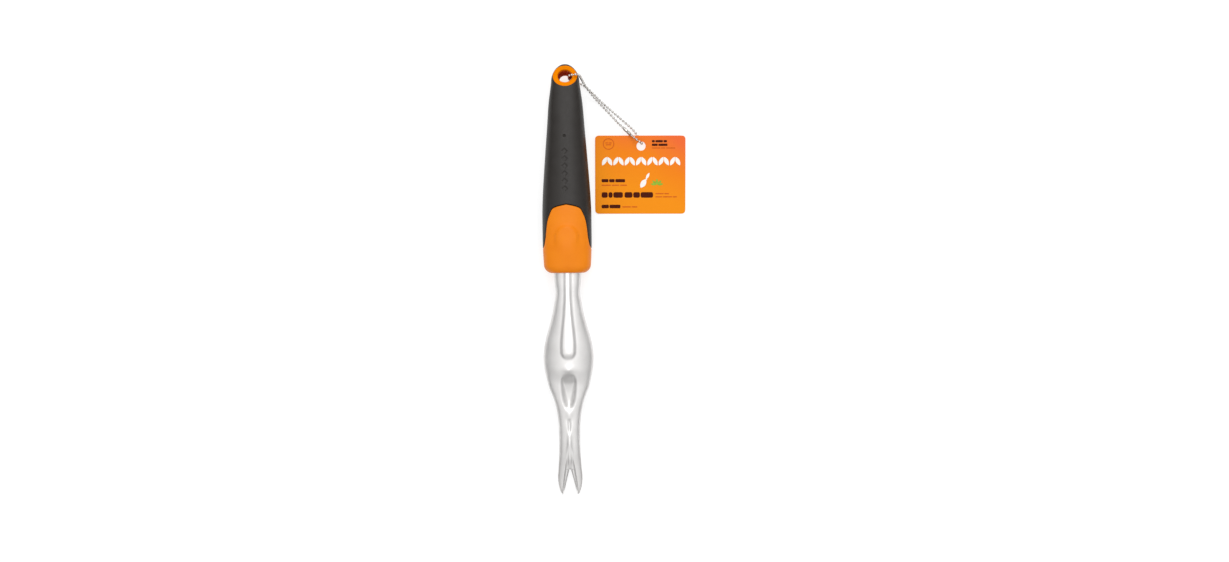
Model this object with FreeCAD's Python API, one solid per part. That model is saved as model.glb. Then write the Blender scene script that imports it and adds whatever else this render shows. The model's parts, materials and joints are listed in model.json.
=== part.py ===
import FreeCAD, Part
import math
import os

# Hand weeder lying on its back. The butt of the handle points to +Y, the fork tips to -Y and the
# front face up, to +Z. The origin is under the middle of the tool, on the surface that it lies on.
# Every size is in millimetres. A "station" is (fraction of the length from the collar mouth, value).

Vec = FreeCAD.Vector

# ---- the tool's main sizes -----------------------------------------------------------------------
handle_length = 155.75            # collar mouth to butt
head_length = 166.95              # collar mouth to fork tips
axis_height = 14.5                # height of the widest line of the handle
mouth_y = (head_length - handle_length) / 2
butt_y = mouth_y + handle_length
tip_y = mouth_y - head_length

# ---- hang hole -----------------------------------------------------------------------------------
bore_half_x = 5.35                # at the front face; the bore narrows towards the back
bore_half_y = 4.60
bore_back_share = 0.80            # size of the bore's back end, as a share of its front end
flange_land_x = 3.85              # width of the core's flange round the bore, on both faces
flange_land_y = 3.15
mouth_radius = 1.2                # rounding of both mouths of the bore
flange_half_x = bore_half_x + flange_land_x
flange_half_y = bore_half_y + flange_land_y
flange_rim_x = 0.8                # sleeve left beside the flange and beyond it
flange_rim_y = 1.3
eye_setback = flange_half_y + flange_rim_y
eye_y = butt_y - eye_setback

# ---- handle: the outer surface that the core and the sleeve share --------------------------------
handle_half_width = [(0.00, 17.2), (0.07, 17.9), (0.16, 18.4), (0.28, 18.4), (0.36, 18.0), (0.47, 16.9),
                     (0.58, 15.6), (0.70, 14.1), (0.81, 12.8), (0.87, 11.6), (0.92, flange_half_x + 1.4),
                     (1.00, flange_half_x + flange_rim_x)]
handle_front = [(0.00, 26.6), (0.10, 27.8), (0.22, 28.4), (0.35, 29.0), (0.55, 28.2), (0.75, 26.2),
                (0.90, 24.2), (1.00, 23.4)]
handle_back = [(0.00, 2.8), (0.12, 0.9), (0.27, 0.0), (0.45, 0.7), (0.70, 3.0), (0.88, 4.6), (1.00, 5.4)]
handle_power = [(0.00, 2.6), (0.30, 2.4), (0.70, 2.5), (0.88, 3.2), (1.00, 3.8)]
butt_cap = 11.8                   # length over which the plan outline closes round the hang hole
mouth_corner = 6.0                # rounding of the collar's end, seen from the front
mouth_corner_share = 0.45         # the same rounding in depth, as a share of it
sleeve_wall = 2.2                 # thickness of the soft sleeve over the core
handle_ring_points = 40

# ---- collar and thumb rest, as heights above the collar mouth -------------------------------------
arch_outline = [(0.0, 50.8), (9.6, 48.0), (12.9, 43.1), (14.7, 38.2), (15.6, 32.0), (16.3, 25.5),
                (17.3, 20.6), (18.7, 18.0), (22.0, 16.6)]
collar_back = 18.0                # top of the collar behind, where the arch meets the sides
pad_half_width = 8.4
pad_top = 36.0
pad_shoulder = 29.0
pad_bottom = 4.0
pad_height = 0.9                  # how far the thumb rest stands proud

# ---- head ----------------------------------------------------------------------------------------
head_half_width = [(0.000, 10.3), (0.048, 9.8), (0.087, 9.15), (0.132, 10.2), (0.186, 11.9),
                   (0.240, 14.3), (0.293, 16.8), (0.335, 18.2), (0.377, 18.75), (0.413, 18.4),
                   (0.461, 17.1), (0.509, 15.2), (0.551, 12.5), (0.593, 10.3), (0.641, 8.8),
                   (0.695, 8.0), (0.750, 7.8), (0.810, 7.95), (0.875, 8.6), (0.921, 9.2),
                   (0.952, 8.8), (0.976, 7.9), (1.000, 6.1)]
head_front = [(0.00, 21.5), (0.08, 21.0), (0.21, 21.5), (0.33, 22.3), (0.42, 21.8), (0.51, 19.5),
              (0.60, 18.0), (0.70, 17.0), (0.79, 15.8), (0.88, 13.2), (0.95, 10.9), (1.00, 9.8)]
head_back = [(0.00, 7.5), (0.08, 7.6), (0.18, 5.5), (0.27, 2.0), (0.345, 0.2), (0.375, 0.0),
             (0.42, 0.6), (0.48, 3.2), (0.55, 6.0), (0.63, 7.4), (0.72, 7.8), (0.87, 7.6), (1.00, 7.3)]
head_edge = [(0.00, 14.5), (0.20, 13.6), (0.38, 12.4), (0.60, 12.8), (0.80, 11.9), (0.92, 9.8), (1.00, 8.5)]
head_power = [(0.00, 2.6), (0.20, 2.3), (0.40, 2.1), (0.60, 2.6), (0.80, 3.2), (1.00, 3.6)]
neck_root = 10.0                  # how far the neck reaches up into the collar
head_ring_points = 72

# Relief on the head's front, across the tool: half widths and heights along the head.
rib_half_width = [(0.08, 2.2), (0.15, 3.0), (0.35, 6.0), (0.42, 6.4)]
rib_height = [(0.05, 0.0), (0.12, 1.0), (0.27, 2.6), (0.40, 3.8), (0.43, 3.0), (0.465, 0.0)]
scoop_half_width = [(0.43, 6.6), (0.48, 7.5), (0.55, 6.0), (0.62, 2.4), (0.66, 1.6)]
scoop_depth = [(0.43, 0.0), (0.475, 3.2), (0.55, 3.0), (0.62, 1.2), (0.66, 0.0)]
bevel_half_width = [(0.79, 1.8), (1.00, 6.4)]
bevel_depth = [(0.79, 0.0), (0.87, 1.6), (0.95, 1.7), (1.00, 1.3)]
relief_edge = 1.3                 # half the width of the slope at a relief's side

# ---- fork ----------------------------------------------------------------------------------------
notch_depth = 19.1                # tips back to the apex of the notch
notch_half_angle = 13.3           # degrees
notch_root_radius = 0.8

# ---- tang inside the handle ----------------------------------------------------------------------
tang_width = 12.0
tang_thickness = 7.0
tang_length = 95.0
tang_corner = 1.5
tang_hole = 5.0                   # cross holes that the core fills
tang_hole_places = (38.0, 72.0)   # above the collar mouth

# ---- hang tag ------------------------------------------------------------------------------------
tag_width = 68.4
tag_height = 59.1
tag_thickness = 0.8
tag_corner = 2.6
tag_hole = 6.9
tag_rim = 4.5                     # between the hole and the top edge
tag_centre_x = 55.6
tag_hole_offset = 0.6             # the hole's place right of the tag's middle
hinge_y = 106.7                   # middle of the rim strip, on which the tag turns
hinge_z = 4.6
rest_gap = 0.05                   # under the tag's lower edge

# ---- chain and its connector -----------------------------------------------------------------------
chain_diameter = 2.0
connector_diameter = 2.8
connector_chamfer = 0.4
chain_route = [                   # from one end of the connector, through both holes, to the other
    Vec(43.6, 114.5, 4.0),
    Vec(38.8, 119.3, 1.3),
    Vec(33.9, 125.1, 1.0),
    Vec(27.6, 131.7, 1.1),
    Vec(21.4, 138.3, 2.4),
    Vec(15.6, 145.4, 6.6),
    Vec(12.1, 151.0, 14.4),
    Vec(10.6, 153.4, 24.3),
    Vec(2.9, 152.5, 25.3),
    Vec(2.8, 152.2, 14.0),
    Vec(2.5, 151.9, 1.8),
    Vec(11.9, 149.3, 1.2),
    Vec(19.4, 143.0, 1.0),
    Vec(26.9, 134.9, 1.0),
    Vec(35.6, 127.3, 1.0),
    Vec(44.2, 119.5, 1.0),
    Vec(51.9, 112.9, 1.0),
    Vec(57.0, 102.85, 1.0),
    Vec(57.0, 102.85, 8.4),
    Vec(51.6, 106.5, 8.5),
    Vec(48.4, 109.7, 6.7),
]


# ---- curves and sections -------------------------------------------------------------------------

def along(stations, t):
    """Smooth curve through stations, level where their values turn (monotone cubic)."""
    if t <= stations[0][0]:
        return stations[0][1]
    if t >= stations[-1][0]:
        return stations[-1][1]
    steps = [(b[1] - a[1]) / (b[0] - a[0]) for a, b in zip(stations, stations[1:])]
    slopes = [steps[0]]
    for before, after in zip(steps, steps[1:]):
        slopes.append(2 * before * after / (before + after) if before * after > 0 else 0.0)
    slopes.append(steps[-1])
    i = max(k for k in range(len(steps)) if stations[k][0] <= t)
    (t0, v0), (t1, v1) = stations[i], stations[i + 1]
    span = t1 - t0
    s = (t - t0) / span
    return ((2 * s**3 - 3 * s**2 + 1) * v0 + (s**3 - 2 * s**2 + s) * span * slopes[i]
            + (3 * s**2 - 2 * s**3) * v1 + (s**3 - s**2) * span * slopes[i + 1])


def closed_curve(points):
    """Smooth closed curve through points, with the same parameters on every ring."""
    curve = Part.BSplineCurve()
    parameters = [k / len(points) for k in range(len(points) + 1)]
    curve.interpolate(Points=points, PeriodicFlag=True, Parameters=parameters)
    return curve


def signed_power(value, power):
    return math.copysign(abs(value) ** power, value)


def ring(y, half_width, front, back, edge, power, count, relief=None):
    """Superellipse section at y: widest at height edge, with separate front and back heights."""
    points = []
    for k in range(count):
        angle = 2 * math.pi * (k + 0.5) / count
        x = half_width * signed_power(math.cos(angle), 2 / power)
        rise = signed_power(math.sin(angle), 2 / power)
        z = edge + rise * ((front - edge) if rise > 0 else (edge - back))
        if relief and rise > 0:
            z += relief(x, y) * min(1.0, 2 * rise)
        points.append(Vec(x, y, z))
    return closed_curve(points)


def loft(rings):
    """Solid whose one smooth side passes through every ring, closed by a flat face at each end."""
    first = rings[0]
    columns = []
    for around in zip(*[curve.getPoles() for curve in rings]):
        lengthwise = Part.BSplineCurve()
        places = [k / (len(rings) - 1) for k in range(len(rings))]
        lengthwise.interpolate(Points=list(around), Parameters=places)
        columns.append(lengthwise)
    second = columns[0]
    side = Part.BSplineSurface()
    side.buildFromPolesMultsKnots([curve.getPoles() for curve in columns], first.getMultiplicities(),
                                  second.getMultiplicities(), first.getKnots(), second.getKnots(),
                                  True, False, first.Degree, second.Degree)
    face = side.toShape()
    ends = [Part.Face(Part.Wire([edge])) for edge in face.Edges if not edge.isSeam(face)]
    shell = Part.Shell([face] + ends)
    shell.sewShape()
    solid = Part.Solid(shell)
    if solid.Volume < 0:
        solid.reverse()
    return solid


def prism(outline, low_z, high_z):
    """Upright solid over a closed outline of edges drawn at z = 0."""
    face = Part.Face(Part.Wire(outline))
    solid = face.extrude(Vec(0, 0, high_z - low_z))
    solid.translate(Vec(0, 0, low_z))
    return solid


def smooth_line(points):
    curve = Part.BSplineCurve()
    curve.interpolate(Points=points)
    return curve.toShape()


# ---- handle --------------------------------------------------------------------------------------

def handle_ring(y, inset=0.0):
    """Section of the handle, drawn in by inset all round."""
    t = (y - mouth_y) / handle_length
    half_width = along(handle_half_width, t)
    front = along(handle_front, t)
    back = along(handle_back, t)
    above_mouth = y - mouth_y
    if above_mouth < mouth_corner:
        gap = mouth_corner - above_mouth
        cut = mouth_corner - math.sqrt(max(0.0, mouth_corner**2 - gap**2))
        half_width -= cut
        front -= cut * mouth_corner_share
        back += cut * mouth_corner_share
    into_cap = (y - (butt_y - butt_cap)) / (butt_cap + 0.2)
    if into_cap > 0:
        half_width *= math.sqrt(1 - into_cap**2)
        squeeze = (1 - into_cap**6) ** (1 / 6)
        front = axis_height + (front - axis_height) * squeeze
        back = axis_height - (axis_height - back) * squeeze
    return ring(y, half_width - inset, front - inset, back + inset, axis_height,
                along(handle_power, t), handle_ring_points)


def handle_envelope(inset=0.0):
    """Whole outer surface of the handle, closed at the collar mouth and round the butt."""
    mouth_ys = [mouth_y + mouth_corner * (1 - math.cos(math.radians(a))) for a in (0, 20, 38, 55, 72, 90)]
    body_start = mouth_y + mouth_corner
    body_end = butt_y - butt_cap
    count = 17
    body_ys = [body_start + (body_end - body_start) * k / count for k in range(1, count + 1)]
    cap_ys = [body_end + butt_cap * math.sin(math.radians(a)) for a in (14, 28, 41, 53, 64, 74, 82, 90)]
    return loft([handle_ring(y, inset) for y in mouth_ys + body_ys + cap_ys])


def inner_core():
    """The core under the sleeve, from inside the collar to inside the eyelet."""
    start = mouth_y + mouth_corner + sleeve_wall
    count = 17
    return loft([handle_ring(start + (eye_y - start) * k / count, sleeve_wall) for k in range(count + 1)])


def eyelet_prism():
    flange = Part.Ellipse(Vec(0, eye_y, 0), flange_half_x, flange_half_y)
    return prism([flange.toShape()], back_limit, front_limit)


def bore():
    """Hang hole through the handle: a bore that narrows to the back, with rounded mouths, squeezed to an oval."""
    t = (eye_y - mouth_y) / handle_length
    front = along(handle_front, t)
    back = along(handle_back, t)
    front_half = bore_half_x
    back_half = bore_half_x * bore_back_share
    turned = mouth_radius * (1 - math.sqrt(0.5))
    mouths = []
    for half, face, inward in ((back_half, back, 1), (front_half, front, -1)):
        mouths.append([Vec(half + mouth_radius, 0, face), Vec(half + turned, 0, face + inward * turned),
                       Vec(half, 0, face + inward * mouth_radius)])
    low, high = mouths
    low_arc = Part.Arc(*low).toShape()
    high_arc = Part.Arc(*reversed(high)).toShape()
    above = [high[0], Vec(high[0].x, 0, front_limit), Vec(0, 0, front_limit), Vec(0, 0, back_limit),
             Vec(low[0].x, 0, back_limit), low[0]]
    outline = [low_arc, Part.makeLine(low[2], high[2]), high_arc]
    outline += [Part.makeLine(p, q) for p, q in zip(above, above[1:])]
    turned_solid = Part.Face(Part.Wire(outline)).revolve(Vec(0, 0, 0), Vec(0, 0, 1), 360)
    squeeze = FreeCAD.Matrix()
    squeeze.scale(1, bore_half_y / bore_half_x, 1)
    squeeze.move(Vec(0, eye_y, 0))
    return turned_solid.transformGeometry(squeeze)


def collar_region():
    """Space of the collar: under the arch in front, and below one height behind."""
    right = [Vec(x, mouth_y + h, 0) for x, h in arch_outline]
    left = [Vec(-p.x, p.y, 0) for p in reversed(right[1:])]
    far = Vec(right[-1].x, mouth_y - mouth_corner, 0)
    corners = [right[-1], far, Vec(-far.x, far.y, 0), left[0]]
    sides = [Part.makeLine(a, b) for a, b in zip(corners, corners[1:])]
    front = prism([smooth_line(left + right)] + sides, axis_height, front_limit)
    width = 2 * right[-1].x
    depth = axis_height - back_limit
    back = Part.makeBox(width, collar_back + mouth_corner, depth, Vec(-width / 2, far.y, back_limit))
    return front.fuse(back)


def thumb_pad(envelope_outset):
    """Arch-topped pad that stands proud of the collar's front."""
    low = mouth_y + pad_bottom
    shoulder = mouth_y + pad_shoulder
    left = Vec(-pad_half_width, shoulder, 0)
    right = Vec(pad_half_width, shoulder, 0)
    top = Vec(0, mouth_y + pad_top, 0)
    low_left = Vec(-pad_half_width, low, 0)
    low_right = Vec(pad_half_width, low, 0)
    outline = [Part.Arc(left, top, right).toShape(), Part.makeLine(right, low_right),
               Part.makeLine(low_right, low_left), Part.makeLine(low_left, left)]
    return envelope_outset.common(prism(outline, axis_height, front_limit))


# ---- head ----------------------------------------------------------------------------------------

def plateau(x, half_width):
    """One inside half_width, nought outside, with a smooth slope between."""
    s = (abs(x) - half_width + relief_edge) / (2 * relief_edge)
    s = min(1.0, max(0.0, s))
    return 1 - s * s * (3 - 2 * s)


def head_relief(x, y):
    t = (mouth_y - y) / head_length
    height = along(rib_height, t) * plateau(x, along(rib_half_width, t))
    height -= along(scoop_depth, t) * plateau(x, along(scoop_half_width, t))
    height -= along(bevel_depth, t) * plateau(x, along(bevel_half_width, t))
    return height


def head_ring(y):
    t = (mouth_y - y) / head_length
    return ring(y, along(head_half_width, t), along(head_front, t), along(head_back, t),
                along(head_edge, t), along(head_power, t), head_ring_points, head_relief)


def tang():
    start = mouth_y + neck_root / 2
    length = tang_length - neck_root / 2
    corner = Vec(-tang_width / 2, start, axis_height - tang_thickness / 2)
    bar = Part.makeBox(tang_width, length, tang_thickness, corner)
    long_edges = [e for e in bar.Edges if abs(e.tangentAt(e.FirstParameter).y) > 0.5]
    bar = bar.makeFillet(tang_corner, long_edges)
    for place in tang_hole_places:
        centre = Vec(0, mouth_y + place, axis_height - tang_thickness)
        bar = bar.cut(Part.makeCylinder(tang_hole / 2, 2 * tang_thickness, centre))
    return bar


def notch():
    """V between the prongs, with a rounded root."""
    slope = math.tan(math.radians(notch_half_angle))
    apex_y = tip_y + notch_depth
    centre = Vec(0, apex_y - notch_root_radius, 0)
    touch = Vec(notch_root_radius * math.cos(math.radians(notch_half_angle)),
                centre.y + notch_root_radius * math.sin(math.radians(notch_half_angle)), 0)
    past = tip_y - 5.0
    foot = Vec(touch.x + (touch.y - past) * slope, past, 0)
    mirror = [Vec(-p.x, p.y, 0) for p in (touch, foot)]
    outline = [Part.Arc(mirror[0], Vec(0, apex_y, 0), touch).toShape(), Part.makeLine(touch, foot),
               Part.makeLine(foot, mirror[1]), Part.makeLine(mirror[1], mirror[0])]
    return prism(outline, back_limit, front_limit)


def weeder_head():
    """Cast head with its tang: one casting, lofted from the root of the neck to the tips."""
    step = 3.5
    count = round(head_length / step)
    ys = [mouth_y + neck_root, mouth_y + neck_root / 2]
    ys += [mouth_y - head_length * k / count for k in range(count + 1)]
    body = loft([head_ring(y) for y in ys])
    return body.fuse(tang()).cut(notch()).removeSplitter()


# ---- tag and chain -------------------------------------------------------------------------------

def hang_tag():
    """Card on the chain: level with the hinge at its rim, lower edge down on the surface."""
    top = hinge_y + tag_rim / 2
    corner = Vec(tag_centre_x - tag_width / 2, top - tag_height, hinge_z - tag_thickness / 2)
    card = Part.makeBox(tag_width, tag_height, tag_thickness, corner)
    upright = [e for e in card.Edges if abs(e.tangentAt(e.FirstParameter).z) > 0.5]
    card = card.makeFillet(tag_corner, upright)
    hole_centre = Vec(tag_centre_x + tag_hole_offset, top - tag_rim - tag_hole / 2, hinge_z - tag_thickness)
    card = card.cut(Part.makeCylinder(tag_hole / 2, 2 * tag_thickness, hole_centre))
    reach = tag_height - tag_rim / 2
    tilt = math.degrees(math.asin((hinge_z - rest_gap - tag_thickness / 2) / reach))
    card.rotate(Vec(0, hinge_y, hinge_z), Vec(1, 0, 0), tilt)
    return card


def rounded_path(points):
    """Straight runs joined by tangent arcs; returns the wire and the arcs' radii."""
    edges = []
    radii = []
    start = points[0]
    for before, here, after in zip(points, points[1:], points[2:]):
        run_in = here - before
        run_out = after - here
        reach = 0.45 * min(run_in.Length, run_out.Length)
        turn = run_in.getAngle(run_out)
        radius = reach / math.tan(turn / 2)
        way_in = Vec(run_in).normalize()
        way_out = Vec(run_out).normalize()
        arc_start = here - way_in * reach
        arc_end = here + way_out * reach
        inward = (way_out - way_in).normalize()
        arc_middle = here + inward * (radius / math.cos(turn / 2) - radius)
        edges.append(Part.LineSegment(start, arc_start).toShape())
        edges.append(Part.Arc(arc_start, arc_middle, arc_end).toShape())
        radii.append(radius)
        start = arc_end
    edges.append(Part.LineSegment(start, points[-1]).toShape())
    return Part.Wire(edges), radii


def bead_chain():
    path, radii = rounded_path(chain_route)
    direction = chain_route[1] - chain_route[0]
    section = Part.Wire([Part.makeCircle(chain_diameter / 2, chain_route[0], direction)])
    tube = path.makePipeShell([section], True, False)
    print("chain radii", [round(r, 1) for r in radii])
    print("chain length", round(path.Length, 1), "volume over section times length",
          round(tube.Volume / (math.pi * chain_diameter**2 / 4 * path.Length), 4))
    return tube


def chain_connector():
    """Sleeve that joins the chain's two ends."""
    start = chain_route[-1]
    along_it = chain_route[0] - start
    body = Part.makeCylinder(connector_diameter / 2, along_it.Length, start, along_it)
    rims = [e for e in body.Edges if isinstance(e.Curve, Part.Circle)]
    return body.makeChamfer(connector_chamfer, rims)


# ---- the whole tool ------------------------------------------------------------------------------

back_limit = -10.0                # planes clear of the whole tool, below and above it
front_limit = 45.0

envelope = handle_envelope()
head = weeder_head()
hole = bore()
inner = inner_core()
eyelet = eyelet_prism()
collar = collar_region()
pad = thumb_pad(handle_envelope(-pad_height))

core = inner.fuse([envelope.common(eyelet), envelope.common(collar), pad])
core = core.cut(hole).cut(head)
sleeve = envelope.cut([inner, eyelet, collar])

nodes = {
    "weeder_head": head,
    "handle_core": core,
    "grip_sleeve": sleeve,
    "hang_tag": hang_tag(),
    "bead_chain": bead_chain(),
    "chain_connector": chain_connector(),
}

os.makedirs("parts", exist_ok=True)
for name, shape in nodes.items():
    shape.exportStep("parts/" + name + ".step")
    print(name, "solids", len(shape.Solids), "valid", shape.isValid(), "volume", round(shape.Volume, 1))
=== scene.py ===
"""Hand weeder on a pale floor, in the frame's own axes.

The tool lies on its back with the butt of its handle to +Y, the fork tips to -Y and its front face up.
Shapes are worked out in millimetres and become metres when a mesh is made. A "station" is (fraction of the
length from the collar mouth, value in millimetres); along() draws one smooth curve through a list of them.
"""
import json
import math

import bmesh
import bpy
import numpy as np
from mathutils import Matrix, Vector


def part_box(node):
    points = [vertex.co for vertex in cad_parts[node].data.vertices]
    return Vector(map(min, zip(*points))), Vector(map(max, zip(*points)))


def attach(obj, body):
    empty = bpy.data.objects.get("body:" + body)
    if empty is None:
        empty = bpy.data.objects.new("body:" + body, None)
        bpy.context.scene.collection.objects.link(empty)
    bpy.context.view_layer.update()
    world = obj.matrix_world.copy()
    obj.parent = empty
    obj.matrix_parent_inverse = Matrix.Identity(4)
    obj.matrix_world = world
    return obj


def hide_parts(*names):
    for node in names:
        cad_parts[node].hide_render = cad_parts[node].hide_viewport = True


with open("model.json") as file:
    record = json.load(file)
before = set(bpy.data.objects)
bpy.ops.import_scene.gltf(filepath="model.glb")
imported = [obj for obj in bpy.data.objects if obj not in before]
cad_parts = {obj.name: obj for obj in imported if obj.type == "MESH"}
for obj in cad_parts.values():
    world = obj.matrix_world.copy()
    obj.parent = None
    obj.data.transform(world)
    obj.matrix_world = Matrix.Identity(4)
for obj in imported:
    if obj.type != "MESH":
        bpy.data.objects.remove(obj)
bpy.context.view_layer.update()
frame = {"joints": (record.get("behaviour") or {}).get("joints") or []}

MM = 0.001


def node_box(node):
    """Lowest and highest corner of a CAD node, in millimetres."""
    low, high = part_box(node)
    return np.array(low) / MM, np.array(high) / MM


# ---- sizes, from the frame and from the tool's own sections --------------------------------------

head_low = node_box("weeder_head")[0]
sleeve_high = node_box("grip_sleeve")[1]
core_low = node_box("handle_core")[0]
tag_low, tag_high = node_box("hang_tag")

MOUTH_Y = core_low[1]
BUTT_Y = sleeve_high[1]
TIP_Y = head_low[1]
HANDLE_LENGTH = BUTT_Y - MOUTH_Y
HEAD_LENGTH = MOUTH_Y - TIP_Y
AXIS_HEIGHT = 14.5

HANDLE_HALF_WIDTH = [(0.00, 17.2), (0.07, 17.9), (0.16, 18.4), (0.28, 18.4), (0.36, 18.0), (0.47, 16.9),
                     (0.58, 15.6), (0.70, 14.1), (0.81, 12.8), (0.87, 11.6), (0.92, 10.6), (1.00, 10.0)]
HANDLE_FRONT = [(0.00, 26.6), (0.10, 27.8), (0.22, 28.4), (0.35, 29.0), (0.55, 28.2), (0.75, 26.2),
                (0.90, 24.2), (1.00, 23.4)]
HANDLE_BACK = [(0.00, 2.8), (0.12, 0.9), (0.27, 0.0), (0.45, 0.7), (0.70, 3.0), (0.88, 4.6), (1.00, 5.4)]
HANDLE_POWER = [(0.00, 2.6), (0.30, 2.4), (0.70, 2.5), (0.88, 3.2), (1.00, 3.8)]
BUTT_CAP = 11.8
CAP_REACH = BUTT_CAP + 0.2        # where the cap's curve would close
MOUTH_CORNER = 6.0
MOUTH_CORNER_SHARE = 0.45
SLEEVE_WALL = 2.2

EYE_Y = BUTT_Y - 9.05
BORE_HALF = np.array([5.35, 4.60])
FLANGE_HALF = np.array([9.20, 7.75])
BORE_BACK_SHARE = 0.80            # the bore narrows towards the back
BORE_LEAN = np.array([-0.3, -1.5])   # and comes out this much nearer the head
MOUTH_RADIUS = 1.2
DISH_DEPTH = 0.55                 # hollow of the flange between its lip and the bore's mouth

ARCH = [(0.0, 50.8), (10.3, 48.0), (13.1, 43.1), (14.7, 38.2), (15.6, 32.0), (16.3, 25.5), (17.3, 20.6)]
ARCH_SIDE = 18.2                  # height of the parting line at the widest point of the side
ARCH_BACK = 17.6
PARTING_GAP = 0.34
PARTING_EDGE = 0.7                # rounding of both edges at the parting line
PARTING_DEPTH = 1.1

HEAD_HALF_WIDTH = [(0.000, 10.3), (0.048, 9.8), (0.087, 9.15), (0.132, 10.2), (0.186, 11.9),
                   (0.240, 14.3), (0.293, 16.8), (0.335, 18.2), (0.377, 18.75), (0.413, 18.4),
                   (0.461, 17.1), (0.509, 15.2), (0.551, 12.5), (0.593, 10.3), (0.641, 8.8),
                   (0.695, 8.0), (0.750, 7.8), (0.810, 7.95), (0.875, 8.6), (0.921, 9.2),
                   (0.952, 8.8), (0.976, 7.9), (1.000, 6.1)]
HEAD_FRONT = [(0.00, 21.5), (0.08, 21.0), (0.21, 21.5), (0.33, 22.3), (0.42, 21.8), (0.51, 19.5),
              (0.60, 18.0), (0.70, 17.0), (0.79, 15.8), (0.88, 13.2), (0.95, 10.9), (1.00, 9.8)]
HEAD_BACK = [(0.00, 7.5), (0.08, 7.6), (0.18, 5.5), (0.27, 2.0), (0.345, 0.2), (0.375, 0.0),
             (0.42, 0.6), (0.48, 3.2), (0.55, 6.0), (0.63, 7.4), (0.72, 7.8), (0.87, 7.6), (1.00, 7.3)]
HEAD_EDGE = [(0.00, 14.5), (0.20, 14.4), (0.38, 14.6), (0.60, 13.4), (0.80, 12.2), (0.92, 9.8), (1.00, 8.5)]
HEAD_POWER = [(0.00, 2.6), (0.20, 2.3), (0.40, 2.1), (0.60, 2.6), (0.80, 3.2), (1.00, 3.6)]

# Relief on the head's front: heights and depths over the casting's skin, and half widths across it.
DOME_HEIGHT = [(-0.04, 0.0), (0.10, 0.2), (0.27, 1.3), (0.36, 1.9), (0.43, 1.8), (0.50, 0.3), (0.56, 0.0)]
RIB_HEIGHT = [(-0.04, 0.8), (0.12, 1.1), (0.30, 1.4), (0.358, 1.6), (0.388, 0.0)]
CREST_PLACE = 0.4327
CREST_SIZE = (3.6, 2.4, 0.95)     # half length across the tool, half width along it, and height
RIB_HALF_WIDTH = [(0.00, 2.4), (0.10, 2.4), (0.17, 3.0), (0.33, 5.1), (0.355, 5.0), (0.372, 4.2),
                  (0.388, 2.2)]
RIB_SIDE = 2.6
SCOOP_HALF_WIDTH = [(0.455, 4.2), (0.481, 5.2), (0.52, 4.6), (0.56, 3.6), (0.59, 2.4), (0.62, 1.4)]
SCOOP_DEPTH = [(0.452, 0.0), (0.480, 1.3), (0.50, 2.1), (0.54, 3.0), (0.575, 3.2), (0.592, 2.5),
               (0.615, 0.3), (0.625, 0.0)]
SCOOP_SIDE = [(0.452, 2.2), (0.48, 2.9), (0.50, 4.0), (0.54, 5.4), (0.575, 5.8), (0.60, 4.6), (0.62, 3.0)]
ROOF_ROUNDING = 0.15              # of the roof's top, as a share of the half width
ROOF_FALL = [(0.56, 0.0), (0.66, 1.2), (0.80, 1.7), (0.90, 2.0), (1.00, 1.4)]
TAIL_HALF_WIDTH = [(0.65, 2.8), (0.73, 1.0)]
TAIL_DEPTH = [(0.652, 0.0), (0.675, 1.0), (0.70, 0.8), (0.73, 0.0)]
SHANK_RIDGE = [(0.600, 0.0), (0.632, 0.6), (0.665, 0.0), (0.70, 0.0), (0.73, 0.5), (0.80, 1.2), (0.835, 1.4),
               (0.865, 0.6), (0.885, 0.0)]
RIDGE_HALF_WIDTH = [(0.60, 3.0), (0.66, 2.2), (0.72, 1.6), (0.86, 1.9)]
BEVEL_HALF_WIDTH = [(0.775, 1.5), (0.88, 4.2), (0.966, 6.2), (1.00, 6.9)]
BEVEL_STEP = [(0.77, 0.0), (0.80, 0.6), (0.90, 1.1), (1.00, 1.0)]
BEVEL_SIDE = 1.7
BEVEL_DEPTH = [(0.78, 0.0), (0.85, 0.5), (0.95, 0.6), (1.00, 0.5)]
NOTCH_CHAMFER = (1.0, 0.8)        # width and depth

NOTCH_DEPTH = 19.1
NOTCH_HALF_ANGLE = math.radians(13.3)
NOTCH_ROOT_RADIUS = 0.8
NECK_ROOT = 10.0
TIP_ROUNDING = 1.1

CHAIN_DIAMETER = 2.0
BEAD_PITCH = 2.65
CHAIN_ROUTE = [(43.6, 114.5, 4.0), (38.8, 119.3, 1.3), (33.9, 125.1, 1.0), (27.6, 131.7, 1.1),
               (21.4, 138.3, 2.4), (15.6, 145.4, 6.6), (12.1, 151.0, 14.4), (10.6, 153.4, 24.3),
               (2.9, 152.5, 25.3), (2.8, 152.2, 14.0), (2.5, 151.9, 1.8), (11.9, 149.3, 1.2),
               (19.4, 143.0, 1.0), (26.9, 134.9, 1.0), (35.6, 127.3, 1.0), (44.2, 119.5, 1.0),
               (51.9, 112.9, 1.0), (57.0, 102.85, 1.0), (57.0, 102.85, 8.4), (51.6, 106.5, 8.5),
               (48.4, 109.7, 6.7)]

CARD_WIDTH = 68.4
CARD_HEIGHT = 59.1
CARD_THICKNESS = 0.8
CARD_CORNER = 2.6
CARD_HOLE_RADIUS = 3.45
CARD_RIM = 4.5
HINGE = np.array(frame["joints"][0]["pos_m"]) / MM


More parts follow.
